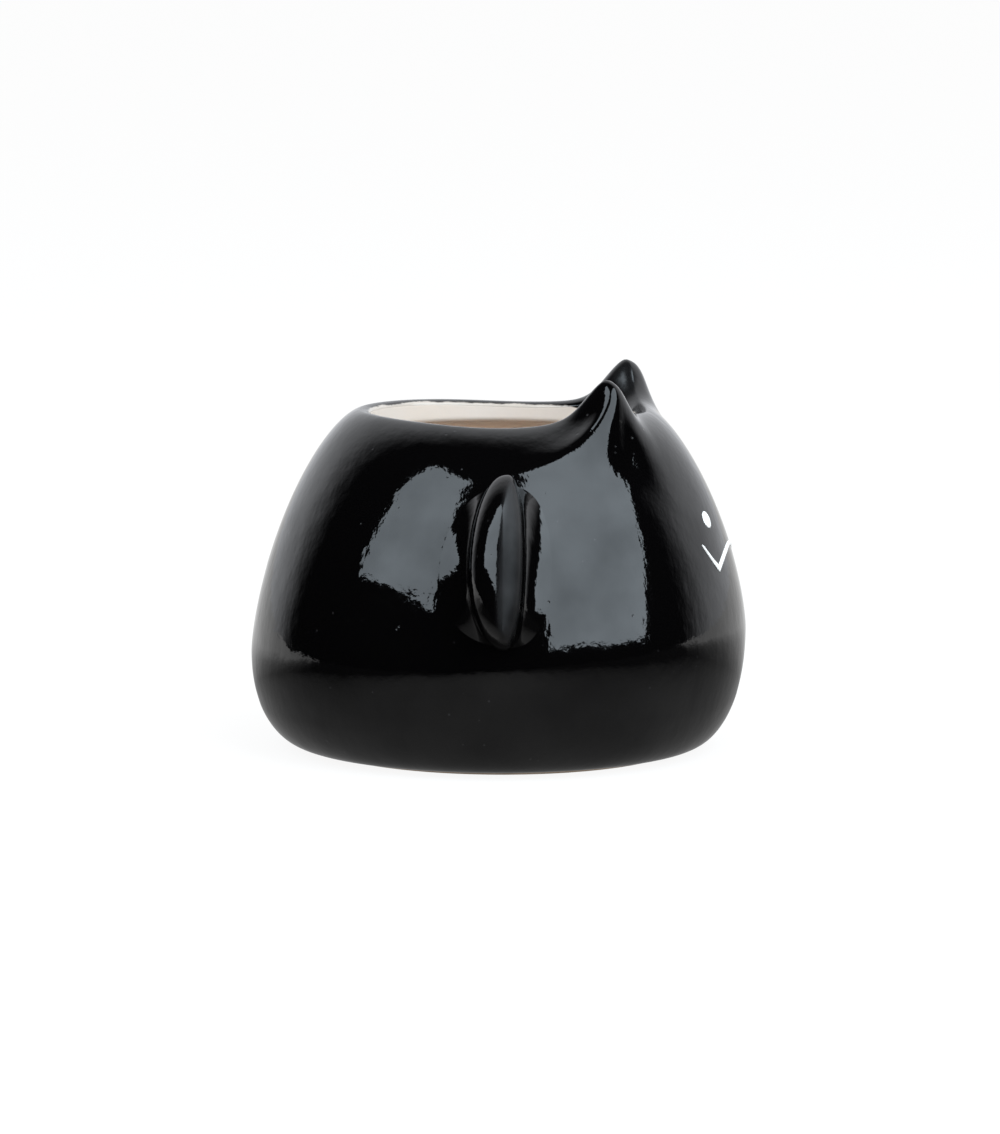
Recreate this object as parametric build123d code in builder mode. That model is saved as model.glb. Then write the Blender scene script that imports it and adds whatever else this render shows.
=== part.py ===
from build123d import *

import os
from math import cos, exp, pi, radians, sin, sqrt

# A small glazed stoneware planter in the shape of a round animal with pointed ears and stub wings.
# Millimetres. +Z is up, the face looks along -Y, and the origin is under the middle of the foot.
# The animal is the same on both sides, so its +X half is drawn and then mirrored.

# Outer form of the vessel: a round belly, widest a little higher in front than behind
belly_radius = 60.0
belly_height = 26.0
belly_tilt = 3.2
foot_radius = 44.7
upper_power = 1.51
lower_power = 2.15

# Opening and lip: the opening is longer from front to back than from side to side
opening_length = 64.0
opening_width = 51.8
opening_forward = 0.75
lip_height = 81.7
lip_round = 2.6
lip_drop = 1.2
side_dip = 1.2
dip_turn = 83.6
dip_spread = 42.2
dip_start = 58.0

# Ears, drawn up out of the lip on each side of the forehead
ear_turn = 39.8
ear_height = 10.8
ear_lean = 4.6
ear_start = 54.4
ear_twist = 7.8
ear_front_spread = 13.7
ear_rear_spread = 10.2
ear_sharpness = 1.73
ear_inner_share = 0.25

# Walls, coats and foot
wall = 5.5
base_thickness = 6.0
collar_height = 3.0
inner_belly_height = 27.0
inner_floor_radius = 38.0
vault_power = 1.7
glaze = 0.5
lining = 0.4
enamel = 0.3
bare_foot_height = 0.8
foot_ring_width = 6.0
foot_recess = 1.5

# Wings, each a D-shaped lug that stands out from the sloping side, with a ridge down the front of its end
wing_centre_height = 51.3
wing_forward = 8.6
wing_slope = 18.0
wing_length = 15.0
wing_height = 41.5
wing_root_height = 36.0
wing_front_half = 4.0
wing_rear_half = 8.9
wing_front_power = 2.4
wing_front_round = 3.7
wing_end_round = 8.5
wing_end_taper = 9.0
wing_root_depth = 9.0
wing_root_reach = 6.5
wing_root_flare = 12.0
wing_root_rise = 1.5

# Face
eye_diameter = 4.2
eye_turn = 13.4
eye_rise = 6.3
mouth_valley = 15.0
mouth_end_reach = 4.0
mouth_valley_height = 46.0
mouth_end_rise = 5.3
mouth_peak_rise = 4.3
mouth_arch_rise = 0.9
mouth_stroke = 1.2
mouth_tip_stroke = 0.4

# How finely the vessel is drawn
turn_step = 7.5
lower_points = 5
upper_points = 9
lip_points = 4
spare_turns = 2
wing_steps = 5
wing_points = 20
wing_end_angle = 80.0
core_radius = 16.0
overlap = 2.0


def smooth(value):
    """Ease from 0 to 1 with level ends."""
    share = min(max(value, 0.0), 1.0)
    return share * share * (3.0 - 2.0 * share)


def quadrant(steps, power):
    """Points of a superellipse's quarter, from its side (1, 0) to its top (0, 1)."""
    angles = [pi / 2 * step / steps for step in range(steps + 1)]
    return [(max(cos(angle), 0.0) ** (2 / power), sin(angle) ** (2 / power)) for angle in angles]


def opening_radius(turn):
    """Distance from the axis to the edge of the opening at this turn from the front."""
    along = cos(radians(turn)) / (opening_length / 2)
    across = sin(radians(turn)) / (opening_width / 2)
    shift = opening_forward / (opening_length / 2)
    stretch = along**2 + across**2
    return (along * shift + sqrt(stretch - (across * shift) ** 2)) / stretch


def widest_height(turn):
    """Height at which the belly is widest at this turn from the front."""
    return belly_height + belly_tilt * cos(radians(turn))


def side_radius(turn, height):
    """Radius of the upper side at this turn and height, without the ears."""
    lip_radius = opening_radius(turn) + lip_round
    widest = widest_height(turn)
    climb = (height - widest) / (lip_height - widest)
    return lip_radius + (belly_radius - lip_radius) * (1.0 - climb**upper_power) ** (1 / upper_power)


def ear_bump(turn, share):
    """Height of the ear, from 0 to 1, for a point that takes this share of it."""
    away = abs(turn) - ear_turn - ear_twist * (1.0 - share)
    spread = ear_front_spread if away < 0 else ear_rear_spread
    return share * (1.0 + (away / spread) ** 2) ** -ear_sharpness


def rim_dip(turn):
    """How far the rim falls at this turn from the front."""
    half_turn = 180.0 - abs(180.0 - turn % 360.0)
    return -side_dip * exp(-(((half_turn - dip_turn) / dip_spread) ** 2))


def plain_profile(turn):
    """Radius, height, dip share and ear share along the outside, from the foot over the lip."""
    edge_radius = opening_radius(turn)
    lip_radius = edge_radius + lip_round
    widest = widest_height(turn)
    points = []
    for out, down in reversed(quadrant(lower_points, lower_power)[1:]):
        radius = foot_radius + (belly_radius - foot_radius) * out
        points.append((radius, widest * (1.0 - down), 0.0, 0.0))
    for out, up in quadrant(upper_points, upper_power):
        radius = lip_radius + (belly_radius - lip_radius) * out
        height = widest + (lip_height - widest) * up
        dip_share = smooth((height - dip_start) / (lip_height - dip_start))
        ear_share = smooth((height - ear_start) / (lip_height - ear_start))
        points.append((radius, height, dip_share, ear_share))
    for step in range(1, lip_points + 1):
        angle = pi / 2 * step / lip_points
        radius = edge_radius + lip_round * (1.0 - sin(angle))
        height = lip_height - lip_drop * (1.0 - cos(angle))
        ear_share = 1.0 - (1.0 - ear_inner_share) * smooth(step / lip_points)
        points.append((radius, height, 1.0, ear_share))
    return points


def outer_points(turn, inset):
    """Outside of the vessel at this turn from the front, set in from the glazed surface."""
    surface = []
    for radius, height, dip_share, ear_share in plain_profile(turn):
        bump = ear_bump(turn, ear_share)
        lifted = height + rim_dip(turn) * dip_share + ear_height * bump
        surface.append((radius + ear_lean * bump * ear_share, lifted))
    points = []
    last = len(surface) - 1
    for index, (radius, height) in enumerate(surface):
        before = surface[max(index - 1, 0)]
        after = surface[min(index + 1, last)]
        run = after[0] - before[0]
        rise = after[1] - before[1]
        length = sqrt(run * run + rise * rise)
        points.append((radius - inset * rise / length, height + inset * run / length))
    return points


def run_along(points):
    """Distance along a chain of points, from 0 at its start."""
    marks = [0.0]
    for before, after in zip(points, points[1:]):
        marks.append(marks[-1] + sqrt((after[0] - before[0]) ** 2 + (after[1] - before[1]) ** 2))
    return marks


def meridian(turn):
    """Upright plane through the axis: its x runs outwards, its y runs up."""
    outwards = Vector(sin(radians(turn)), -cos(radians(turn)), 0)
    return Plane(origin=(0, 0, 0), x_dir=outwards, z_dir=outwards.cross(Vector(0, 0, 1)))


def half_form(inset, core, bottom):
    """The +X half of the filled ring under one coat, from the core radius out to the surface."""
    steps = int(180 / turn_step)
    marks = run_along(plain_profile(dip_turn))
    with BuildPart() as form:
        for step in range(-spare_turns, steps + spare_turns + 1):
            turn = step * turn_step
            with BuildSketch(meridian(turn)):
                with BuildLine():
                    outside = Edge.make_spline(outer_points(turn, inset), parameters=marks)
                    add(outside)
                    edge = outside @ 1
                    foot = outside @ 0
                    Polyline(edge, (core, edge.Y), (core, bottom), (foot.X, bottom), foot)
                make_face()
        loft()
        split(bisect_by=Plane.YZ)
    return form.part


def hollow(inset):
    """The space inside the vessel, up through its opening, set in from the fired clay."""
    floor = base_thickness + inset
    belly = belly_radius - wall - inset
    rim_low = lip_height - side_dip - lip_drop
    ceiling = rim_low - collar_height - inset
    neck = (opening_length + opening_width) / 4
    top = lip_height + ear_height + overlap
    bowl_points = []
    for out, down in reversed(quadrant(lower_points, lower_power)):
        radius = inner_floor_radius + (belly - inner_floor_radius) * out
        bowl_points.append((radius, inner_belly_height - (inner_belly_height - floor) * down))
    vault_points = []
    for out, up in quadrant(upper_points, vault_power):
        radius = neck + (belly - neck) * out
        vault_points.append((radius, inner_belly_height + (ceiling - inner_belly_height) * up))
    with BuildPart() as space:
        with BuildSketch(Plane.XZ):
            with BuildLine():
                bowl = Spline(*bowl_points)
                vault = Spline(*vault_points)
                Polyline(vault @ 1, (0, ceiling), (0, floor), bowl @ 0)
            make_face()
        revolve(axis=Axis.Z)
        with BuildSketch(Plane.XY.offset(inner_belly_height)):
            with Locations((0, -opening_forward)):
                Ellipse(opening_width / 2 + lining - inset, opening_length / 2 + lining - inset)
        extrude(amount=top - inner_belly_height)
    return space.part


def wing_section(plane, front, rear, half_height):
    """D-shaped section with its tips at top and bottom: flat in front, bowed behind."""
    marks = [step / wing_points for step in range(wing_points + 1)]
    points = []
    for mark in marks[:-1]:
        angle = 2 * pi * mark
        across = rear * cos(angle)
        if across < 0:
            across = -front * abs(cos(angle)) ** (2 / wing_front_power)
        points.append((across, half_height * sin(angle)))
    with BuildSketch(plane) as section:
        with BuildLine():
            outline = Edge.make_spline(points, periodic=True, parameters=marks)
            add(outline)
        make_face()
    return section.sketch


def wing_half_height(out):
    """Half the height of the wing at this distance out from its seat on the vessel."""
    share = out / (wing_length - wing_end_round)
    return (wing_root_height + (wing_height - wing_root_height) * share) / 2


def wing_form():
    """The left wing with its flared root still whole, before it is seated on the vessel."""
    slope = radians(wing_slope)
    reach = sqrt(side_radius(90.0, wing_centre_height) ** 2 - wing_forward**2)
    seat = Plane(
        origin=(reach, -wing_forward, wing_centre_height),
        x_dir=(0, 1, 0),
        z_dir=(cos(slope), 0, sin(slope)),
    )
    sections = []
    for step in range(wing_steps):
        share = step / wing_steps
        out = share * (wing_root_reach + wing_root_depth) - wing_root_depth
        widen = wing_root_flare * (1.0 - smooth(share))
        half = wing_half_height(out) + wing_root_rise * (1.0 - smooth(share))
        front = wing_front_half + widen
        rear = wing_rear_half + widen
        sections.append(wing_section(seat.offset(out), front, rear, half))
    for step in range(wing_steps):
        angle = radians(wing_end_angle * step / (wing_steps - 1))
        out = wing_length - wing_end_round * (1.0 - sin(angle))
        half = wing_half_height(out) - wing_end_taper * (1.0 - cos(angle))
        ridge = max(out - wing_length + wing_front_round, 0.0) / wing_front_round
        front = wing_front_half * sqrt(1.0 - ridge**2)
        rear = wing_rear_half * cos(angle)
        sections.append(wing_section(seat.offset(out), front, rear, half))
    with BuildPart() as form:
        loft(sections=sections)
    return form.part


def face_plane(turn, height):
    """Plane on the front of the vessel, square to the surface at this place."""
    radius = side_radius(turn, height)
    fall = (side_radius(turn, height - overlap) - side_radius(turn, height + overlap)) / (2 * overlap)
    across = sin(radians(turn))
    forward = -cos(radians(turn))
    return Plane(origin=(radius * across, radius * forward, height), z_dir=(across, forward, fall))


outer_form = half_form(0.0, core_radius, -overlap)
clay_form = half_form(glaze, core_radius - overlap, 0.0)
enamel_form = half_form(-enamel, core_radius, -overlap)
clay_hollow = hollow(0.0)
lined_hollow = hollow(lining)
left_lug = wing_form()

# Cast body: side walls with the ears, the base, and the ring that it stands on
with BuildPart() as clay_body:
    add(clay_form)
    mirror(about=Plane.YZ)
    with BuildSketch():
        Circle(core_radius)
    extrude(amount=base_thickness + overlap)
    add(clay_hollow, mode=Mode.SUBTRACT)
    with BuildSketch():
        Circle(foot_radius - foot_ring_width)
    extrude(amount=foot_recess, mode=Mode.SUBTRACT)

# Half of the coat over the outside, from the bare foot up over the lip
with BuildPart() as half_coat:
    add(outer_form)
    add(clay_form, mode=Mode.SUBTRACT)
    add(clay_hollow, mode=Mode.SUBTRACT)
    with BuildSketch(Plane.XY.offset(bare_foot_height)):
        Circle(belly_radius)
    extrude(amount=-bare_foot_height - 2 * overlap, mode=Mode.SUBTRACT)

# Outer coat, left open where the wings are joined to the clay
with BuildPart() as black_glaze:
    add(half_coat.part)
    add(left_lug, mode=Mode.SUBTRACT)
    mirror(about=Plane.YZ)

# Air above the lip, which ends the lining flush with the outer coat
with BuildPart() as half_opening_air:
    with BuildSketch(Plane.XY.offset(lip_height - side_dip - lip_drop - overlap)):
        Circle(opening_length / 2 + opening_forward + lip_round)
        Circle(core_radius + overlap, mode=Mode.SUBTRACT)
    extrude(amount=ear_height + side_dip + lip_drop + 3 * overlap)
    split(bisect_by=Plane.YZ)
    add(outer_form, mode=Mode.SUBTRACT)

# Lining coat: floor, bowl, vault and the collar inside the lip
with BuildPart() as cream_lining:
    add(clay_hollow)
    add(lined_hollow, mode=Mode.SUBTRACT)
    split(bisect_by=Plane.YZ)
    add(half_opening_air.part, mode=Mode.SUBTRACT)
    mirror(about=Plane.YZ)

# Wings, and the layer of slip that joins each one to the body
with BuildPart() as left_wing:
    add(left_lug)
    add(outer_form, mode=Mode.SUBTRACT)

with BuildPart() as left_wing_slip:
    add(half_coat.part)
    add(left_lug, mode=Mode.INTERSECT)

with BuildPart() as right_wing:
    mirror(left_wing.part, about=Plane.YZ)

with BuildPart() as right_wing_slip:
    mirror(left_wing_slip.part, about=Plane.YZ)

# Enamel face on the front of the coat, with the eyes above the ends of the mouth
end_height = mouth_valley_height + mouth_end_rise
eye_height = end_height + eye_rise

with BuildPart() as left_eye:
    with BuildSketch(face_plane(eye_turn, eye_height)):
        Circle(eye_diameter / 2)
    extrude(amount=overlap, both=True)
    add(enamel_form, mode=Mode.INTERSECT)
    add(outer_form, mode=Mode.SUBTRACT)

with BuildPart() as right_eye:
    mirror(left_eye.part, about=Plane.YZ)

with BuildPart() as mouth:
    with BuildSketch(Plane.XZ.offset(opening_length / 2)):
        with BuildLine():
            half_stroke = mouth_stroke / 2
            half_tip = mouth_tip_stroke / 2
            upper_tip = (mouth_valley + mouth_end_reach - half_tip, end_height)
            lower_tip = (mouth_valley + mouth_end_reach + half_tip, end_height)
            upper_valley = (mouth_valley - half_tip, mouth_valley_height + mouth_stroke)
            lower_valley = (mouth_valley + half_tip, mouth_valley_height - half_stroke)
            arch_x = mouth_valley / 2
            arch_y = mouth_valley_height + mouth_peak_rise / 2 + mouth_arch_rise
            lower_peak = (0, mouth_valley_height + mouth_peak_rise - half_stroke)
            upper_peak = (0, mouth_valley_height + mouth_peak_rise + half_stroke)
            Polyline(upper_valley, upper_tip, lower_tip, lower_valley)
            ThreePointArc(lower_valley, (arch_x, arch_y - half_stroke), lower_peak)
            Line(lower_peak, upper_peak)
            ThreePointArc(upper_peak, (arch_x, arch_y + half_stroke), upper_valley)
        make_face()
    extrude(amount=belly_radius - opening_length / 2 + overlap)
    add(enamel_form, mode=Mode.INTERSECT)
    add(outer_form, mode=Mode.SUBTRACT)
    mirror(about=Plane.YZ)

pieces = {
    "clay_body": clay_body,
    "black_glaze": black_glaze,
    "cream_lining": cream_lining,
    "left_wing": left_wing,
    "right_wing": right_wing,
    "left_wing_slip": left_wing_slip,
    "right_wing_slip": right_wing_slip,
    "left_eye": left_eye,
    "right_eye": right_eye,
    "mouth": mouth,
}
os.makedirs("parts", exist_ok=True)
for name, piece in pieces.items():
    piece.part.label = name
    export_step(piece.part, f"parts/{name}.step")
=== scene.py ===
"""Animal shaped planter: its dressed pieces and a plain stage, laid out as an add-on and run as a script."""

import math

import bmesh
import bpy
from bpy.props import FloatProperty, FloatVectorProperty, PointerProperty
from bpy.types import Operator, Panel, PropertyGroup
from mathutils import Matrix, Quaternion, Vector


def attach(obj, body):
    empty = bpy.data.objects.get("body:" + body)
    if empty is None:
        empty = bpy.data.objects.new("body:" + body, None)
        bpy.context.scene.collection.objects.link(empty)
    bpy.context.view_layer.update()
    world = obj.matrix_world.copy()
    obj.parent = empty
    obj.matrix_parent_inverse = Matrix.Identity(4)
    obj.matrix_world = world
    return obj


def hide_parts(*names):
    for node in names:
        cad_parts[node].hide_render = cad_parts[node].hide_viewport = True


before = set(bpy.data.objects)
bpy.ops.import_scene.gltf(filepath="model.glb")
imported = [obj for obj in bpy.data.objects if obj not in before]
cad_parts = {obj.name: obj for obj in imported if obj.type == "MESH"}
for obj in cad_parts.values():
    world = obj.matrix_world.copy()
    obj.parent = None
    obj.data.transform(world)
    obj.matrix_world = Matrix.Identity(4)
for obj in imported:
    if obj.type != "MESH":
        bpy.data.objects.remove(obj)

bl_info = {
    "name": "Animal Planter",
    "version": (1, 0, 0),
    "blender": (4, 5, 0),
    "location": "3D View > Sidebar > Planter",
    "description": "Builds a glazed animal planter piece by piece, with a plain studio stage",
    "category": "Add Mesh",
}

BODY = "root"
QUARTER = math.pi / 2
SIDES = (("left", 1.0), ("right", -1.0))
WHITE = (1.0, 1.0, 1.0, 1.0)
NODE_GRID = (190.0, -170.0)
NOISE_MIDDLE = 0.5
# Share of a coat that its wall takes up, so that it stays clear of the clay
WALL_SHARE = 0.9
# Depth below the lip that is given to black glaze away from the rim line
OUTSIDE_RIM = -0.01
# Distances in metres: a step for a slope on the skin, and one between points that count as one
SKIN_STEP = 0.0005
SAME_PLACE = 0.00001


# Kinds of setting

def length(name, description, default):
    """A size in metres."""
    return FloatProperty(name=name, description=description, default=default, precision=5,
                         subtype="DISTANCE", unit="LENGTH")


def angle(name, description, degrees):
    """An angle, given in degrees and kept in radians."""
    return FloatProperty(name=name, description=description, default=math.radians(degrees),
                         subtype="ANGLE", unit="ROTATION")


def number(name, description, default):
    """A plain number."""
    return FloatProperty(name=name, description=description, default=default, precision=3)


def colour(name, description, default):
    """A colour with its alpha."""
    return FloatVectorProperty(name=name, description=description, default=(*default, 1.0),
                               size=4, min=0.0, max=1.0, subtype="COLOR")


class VesselSizes(PropertyGroup):
    """Sizes of the round body, its mouth and its walls"""

    belly_radius: length("Belly radius", "Half the width of the body at its widest", 0.060)
    belly_height: length("Belly height", "Height of the widest line", 0.026)
    belly_tilt: length("Belly tilt", "How much higher the widest line runs at the front", 0.0032)
    foot_radius: length("Foot radius", "Radius where the body meets the table", 0.0447)
    upper_power: number("Upper power", "Fullness of the shoulder", 1.51)
    lower_power: number("Lower power", "Fullness of the underside", 2.15)
    opening_length: length("Opening length", "Mouth from front to back", 0.064)
    opening_width: length("Opening width", "Mouth from side to side", 0.0518)
    opening_forward: length("Opening forward", "Shift of the mouth towards the face", 0.00075)
    lip_height: length("Lip height", "Height of the rim away from the ears", 0.0817)
    lip_round: length("Lip round", "Width of the rounded lip", 0.0026)
    lip_drop: length("Lip drop", "Fall of the lip towards the mouth", 0.0012)
    side_dip: length("Side dip", "Sag of the rim at the sides", 0.0012)
    dip_turn: angle("Dip turn", "Where the rim sags most, from the front", 83.6)
    dip_spread: angle("Dip spread", "How far the sag spreads round the rim", 42.2)
    dip_start: length("Dip start", "Height where the sag begins", 0.058)
    wall: length("Wall", "Thickness of the wall at the belly", 0.0055)
    base_thickness: length("Base thickness", "Thickness of the floor", 0.006)
    collar_height: length("Collar height", "Straight part under the lip", 0.0030)
    inner_belly_height: length("Inner belly height", "Height of the widest line inside", 0.027)
    inner_floor_radius: length("Inner floor radius", "Radius of the flat floor inside", 0.038)
    vault_power: number("Vault power", "Fullness of the shoulder inside", 1.7)
    glaze: length("Glaze", "Thickness of the black coat", 0.0005)
    lining: length("Lining", "Thickness of the cream coat", 0.0004)
    bare_foot: length("Bare foot", "Height left unglazed at the foot", 0.0008)
    foot_ring: length("Foot ring", "Width of the ring that it stands on", 0.006)
    foot_recess: length("Foot recess", "Depth of the hollow underneath", 0.0015)
    foot_bevel: length("Foot bevel", "Edge taken off the foot ring", 0.0006)
    fold_round: length("Fold round", "Rounding between collar and vault", 0.0010)


class EarSizes(PropertyGroup):
    """Sizes of the two ears drawn up from the rim"""

    turn: angle("Turn", "Where an ear stands, from the front", 39.8)
    height: length("Height", "Height of an ear above the rim", 0.01065)
    lean: length("Lean", "How far an ear leans outwards", 0.0046)
    front_start: length("Front start", "Height where an ear begins on its front", 0.0544)
    rear_start: length("Rear start", "Height where an ear begins on its rear", 0.0660)
    lead: angle("Lead", "How far before the ridge the two starts blend", 8.0)
    twist: angle("Twist", "How far an ear swings back as it goes down", 17.0)
    flare: number("Flare", "How much its rear spreads as it goes down", 1.5)
    front_spread: angle("Front spread", "Reach of an ear towards the face", 13.7)
    rear_spread: angle("Rear spread", "Reach of an ear towards the back", 10.2)
    sharpness: number("Sharpness", "How pointed an ear is", 1.73)
    inner_share: number("Inner share", "Height of an ear kept at the inside of the lip", 0.25)


class WingSizes(PropertyGroup):
    """Sizes of the stub wing on each side"""

    centre_height: length("Centre height", "Height of a wing's middle", 0.0513)
    forward: length("Forward", "Shift of a wing towards the face", 0.0086)
    slope: angle("Slope", "How far a wing points upwards", 18.0)
    reach: length("Reach", "How far a wing stands out", 0.015)
    height: length("Height", "Length of a wing from top to bottom", 0.0415)
    root_height: length("Root height", "Length of a wing where it leaves the body", 0.036)
    front_half: length("Front half", "Fullness of the front face", 0.0040)
    rear_half: length("Rear half", "Fullness of the rear face", 0.0089)
    front_power: number("Front power", "Squareness of the front face", 2.4)
    rear_power: number("Rear power", "Squareness of the rear face", 2.25)
    end_power: number("End power", "Fullness of the front rounding at the end", 1.5)
    front_round: length("Front round", "Rounding between front face and end", 0.0037)
    end_round: length("End round", "Rounding between rear face and end", 0.0095)
    end_taper: length("End taper", "How much the upper tip draws in at the end", 0.0105)
    low_taper: length("Low taper", "How much the lower tip draws in at the end", 0.0030)
    cap_drop: length("Cap drop", "How much sooner the end rounds off at the upper tip", 0.0018)
    bow: length("Bow", "Radius of the end from top to bottom", 0.062)
    apex_drop: length("Apex drop", "How far the outermost point lies below the middle", 0.0090)
    fillet: length("Fillet", "Spread of the hollow in front, where a wing meets the body", 0.0062)
    rear_fillet: length("Rear fillet", "Spread of the same hollow behind", 0.0080)
    fillet_start: angle("Fillet start", "Crease between the hollow and the body", 25.0)
    fillet_rise: length("Fillet rise", "Spread of the hollow above and below", 0.0015)
    skew: number("Skew", "How much fuller the lower half is", 0.12)
    lean: length("Lean", "Shift of the lower tip towards the face", 0.0007)
    sunk: length("Sunk", "How far the root goes into the coat", 0.00012)
    slip: length("Slip", "Thickness of the joining slip", 0.0006)


class FaceSizes(PropertyGroup):
    """Sizes of the painted face"""

    enamel: length("Enamel", "Thickness of the white enamel", 0.0003)
    sunk: length("Sunk", "How far the enamel goes into the coat", 0.0002)
    eye_diameter: length("Eye diameter", "Size of an eye", 0.0042)
    eye_turn: angle("Eye turn", "Where an eye sits, from the front", 13.4)
    eye_height: length("Eye height", "Height of an eye", 0.0576)
    valley: length("Valley", "Distance of a low corner of the mouth from the middle", 0.015)
    end_reach: length("End reach", "How far an end lies outside its low corner", 0.0048)
    valley_height: length("Valley height", "Height of the low corners", 0.046)
    end_rise: length("End rise", "Rise of an end above its low corner", 0.0066)
    end_sag: length("End sag", "Sag of the outer strokes", 0.0007)
    peak_rise: length("Peak rise", "Rise of the middle above the low corners", 0.0043)
    arch_rise: length("Arch rise", "Arch of the inner strokes", 0.0009)
    stroke: length("Stroke", "Width of the line", 0.0012)
    tip_stroke: length("Tip stroke", "Width of the line at its ends", 0.0007)


class FinishSettings(PropertyGroup):
    """Colours and surface of the glazes, the enamel and the clay"""

    black: colour("Black", "Black glaze", (0.0010, 0.0009, 0.0010))
    thin_black: colour("Thin black", "Black glaze where it runs thin over an edge", (0.016, 0.0155, 0.016))
    cream: colour("Cream", "Cream glaze", (0.66, 0.60, 0.545))
    cream_shade: colour("Cream shade", "Cream glaze where it pools", (0.64, 0.55, 0.46))
    # Painted shade: the cream on the upward-facing lip is made darker so that it catches less of the light
    # from above
    lip_cream_painted_shade: colour("Lip cream", "Cream glaze on the lip, darkened as painted shade where it faces up", (0.46, 0.41, 0.36))
    # Partly a warmer tone of the glaze inside, partly painted light: the tan is brighter than the cream so
    # that the shaded hollow below the collar looks lit by bounce light
    tan: colour("Tan", "Warmer cream deep inside, brightened as painted bounce light", (0.88, 0.75, 0.64))
    white: colour("White", "White enamel", (0.86, 0.86, 0.84))
    clay: colour("Clay", "Fired clay", (0.52, 0.40, 0.29))
    clay_dark: colour("Dark clay", "Stains in the clay", (0.34, 0.25, 0.18))
    peel_size: length("Peel size", "Width of the waves in the glaze", 0.0042)
    peel_height: length("Peel height", "Height of the waves in the glaze", 0.000050)
    pit_depth: length("Pit depth", "Depth of the pits in the black glaze", 0.00003)
    cream_pit_depth: length("Cream pit depth", "Depth of the pits in the cream glaze", 0.00004)
    enamel_peel_size: length("Enamel peel size", "Width of the waves in the enamel", 1.0 / 700.0)
    enamel_peel_height: length("Enamel peel height", "Height of the waves in the enamel", 0.00001)
    grain_height: length("Grain height", "Height of the grain of the clay", 0.00004)
    rim_line: length("Rim line", "Depth below the lip where black gives way to cream", 0.00068)
    rim_sway: length("Rim sway", "How far that line wanders", 0.0007)
    rim_jag: length("Rim jag", "How ragged that line is", 0.0003)
    # Depths of the painted bounce light: where the brighter, warmer tan starts and where it is full
    tan_painted_bounce_start: length("Tan start", "Depth below the lip where the tan begins", 0.0054)
    tan_painted_bounce_full: length("Tan full", "Depth below the lip where all is tan", 0.0074)
    clear_rough: number("Clear roughness", "Roughness of clear black glaze", 0.028)
    cloudy_rough: number("Cloudy roughness", "Roughness of cloudy black glaze", 0.062)
    edge_rough: number("Edge roughness", "Roughness added where the glaze runs thin", 0.50)
    low_gloss: number("Low gloss", "Weakest reflection of the black glaze", 0.36)
    high_gloss: number("High gloss", "Strongest reflection of the black glaze", 0.62)
    edge_loss: number("Edge loss", "Reflection lost where the glaze runs thin", 0.26)
    glaze_ior: number("Glaze index", "Refractive index of the glazes", 1.45)


class StageSettings(PropertyGroup):
    """Camera, floor and lights"""

    azimuth: angle("Azimuth", "Side that the camera looks from", 276.71)
    elevation: angle("Elevation", "Height of the camera above the horizon", 8.053)
    roll: angle("Roll", "Turn of the camera about its own axis", 0.242)
    distance: length("Distance", "Distance of the camera", 1.5)
    aim_height: length("Aim height", "Height that the camera looks at", 0.04334)
    aim_forward: length("Aim forward", "Shift of the aim towards the face", 0.00028)
    lens: number("Lens", "Focal length in millimetres", 196.5)
    floor_front: length("Floor front", "Reach of the floor towards the camera", 0.65)
    floor_back: length("Floor back", "Reach of the floor away from the camera", 30.0)
    floor_light: number("Floor light", "Brightness of the floor to the camera", 0.90)
    floor_shade: colour("Floor shade", "Part of the floor that takes a shadow", (0.10, 0.10, 0.10))
    panel_distance: length("Panel distance", "Distance of the light panels", 1.2)
    left_turn: angle("Left turn", "Left panel, sideways from the camera", -55.0)
    left_rise: angle("Left rise", "Left panel, above the horizon", 54.0)
    left_width: length("Left width", "Width of the left panel", 0.54)
    left_height: length("Left height", "Height of the left panel", 1.32)
    left_roll: angle("Left roll", "Left panel, about its own middle", 0.0)
    left_lean: angle("Left lean", "How far the left panel faces downwards", 0.0)
    right_turn: angle("Right turn", "Right panel, sideways from the camera", 50.5)
    right_rise: angle("Right rise", "Right panel, above the horizon", 40.1)
    right_width: length("Right width", "Width of the right panel", 1.18)
    right_height: length("Right height", "Height of the right panel", 1.48)
    right_roll: angle("Right roll", "Right panel, about its own middle", -7.6)
    right_lean: angle("Right lean", "How far the right panel faces downwards", 40.1)
    panel_light: number("Panel light", "Brightness of the panels, white being 1", 4.3)
    panel_colour: colour("Panel colour", "Colour of the panels", (0.80, 0.91, 1.0))
    room_colour: colour("Room colour", "Colour of the room in the glaze", (0.94, 0.96, 1.0))
    room_turn: angle("Room turn", "How far the bright side of the room turns to the right", 8.0)
    room_rise: angle("Room rise", "How far the bright side of the room rises", 8.0)
    rear_light: number("Rear light", "Brightness of the room behind the object", 1.05)
    front_light: number("Front light", "Brightness of the room in front of the object", 0.008)
    soft_light: number("Soft light", "Brightness of the room for dull surfaces", 0.75)


class PlanterSettings(PropertyGroup):
    """Everything that can be set"""

    vessel: PointerProperty(type=VesselSizes)
    ears: PointerProperty(type=EarSizes)
    wings: PointerProperty(type=WingSizes)
    face: PointerProperty(type=FaceSizes)
    finish: PointerProperty(type=FinishSettings)
    stage: PointerProperty(type=StageSettings)


# Form of the body, the same formulas as the solids

def ease(value):
    """A smooth step from 0 to 1."""
    value = min(max(value, 0.0), 1.0)
    return value * value * (3.0 - 2.0 * value)


def steps(start, end, count):
    """Evenly spaced marks from start up to, and without, end."""
    return [start + (end - start) * step / count for step in range(count)]


def quarter(share, power):
    """Across and up on a superellipse quarter that starts level with its middle."""
    turned = QUARTER * share
    return max(math.cos(turned), 0.0) ** (2.0 / power), max(math.sin(turned), 0.0) ** (2.0 / power)


def round_point(turn, radius, height):
    """A place on the body, from its turn from the front, its radius and its height."""
    return Vector((radius * math.sin(turn), -radius * math.cos(turn), height))


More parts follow.
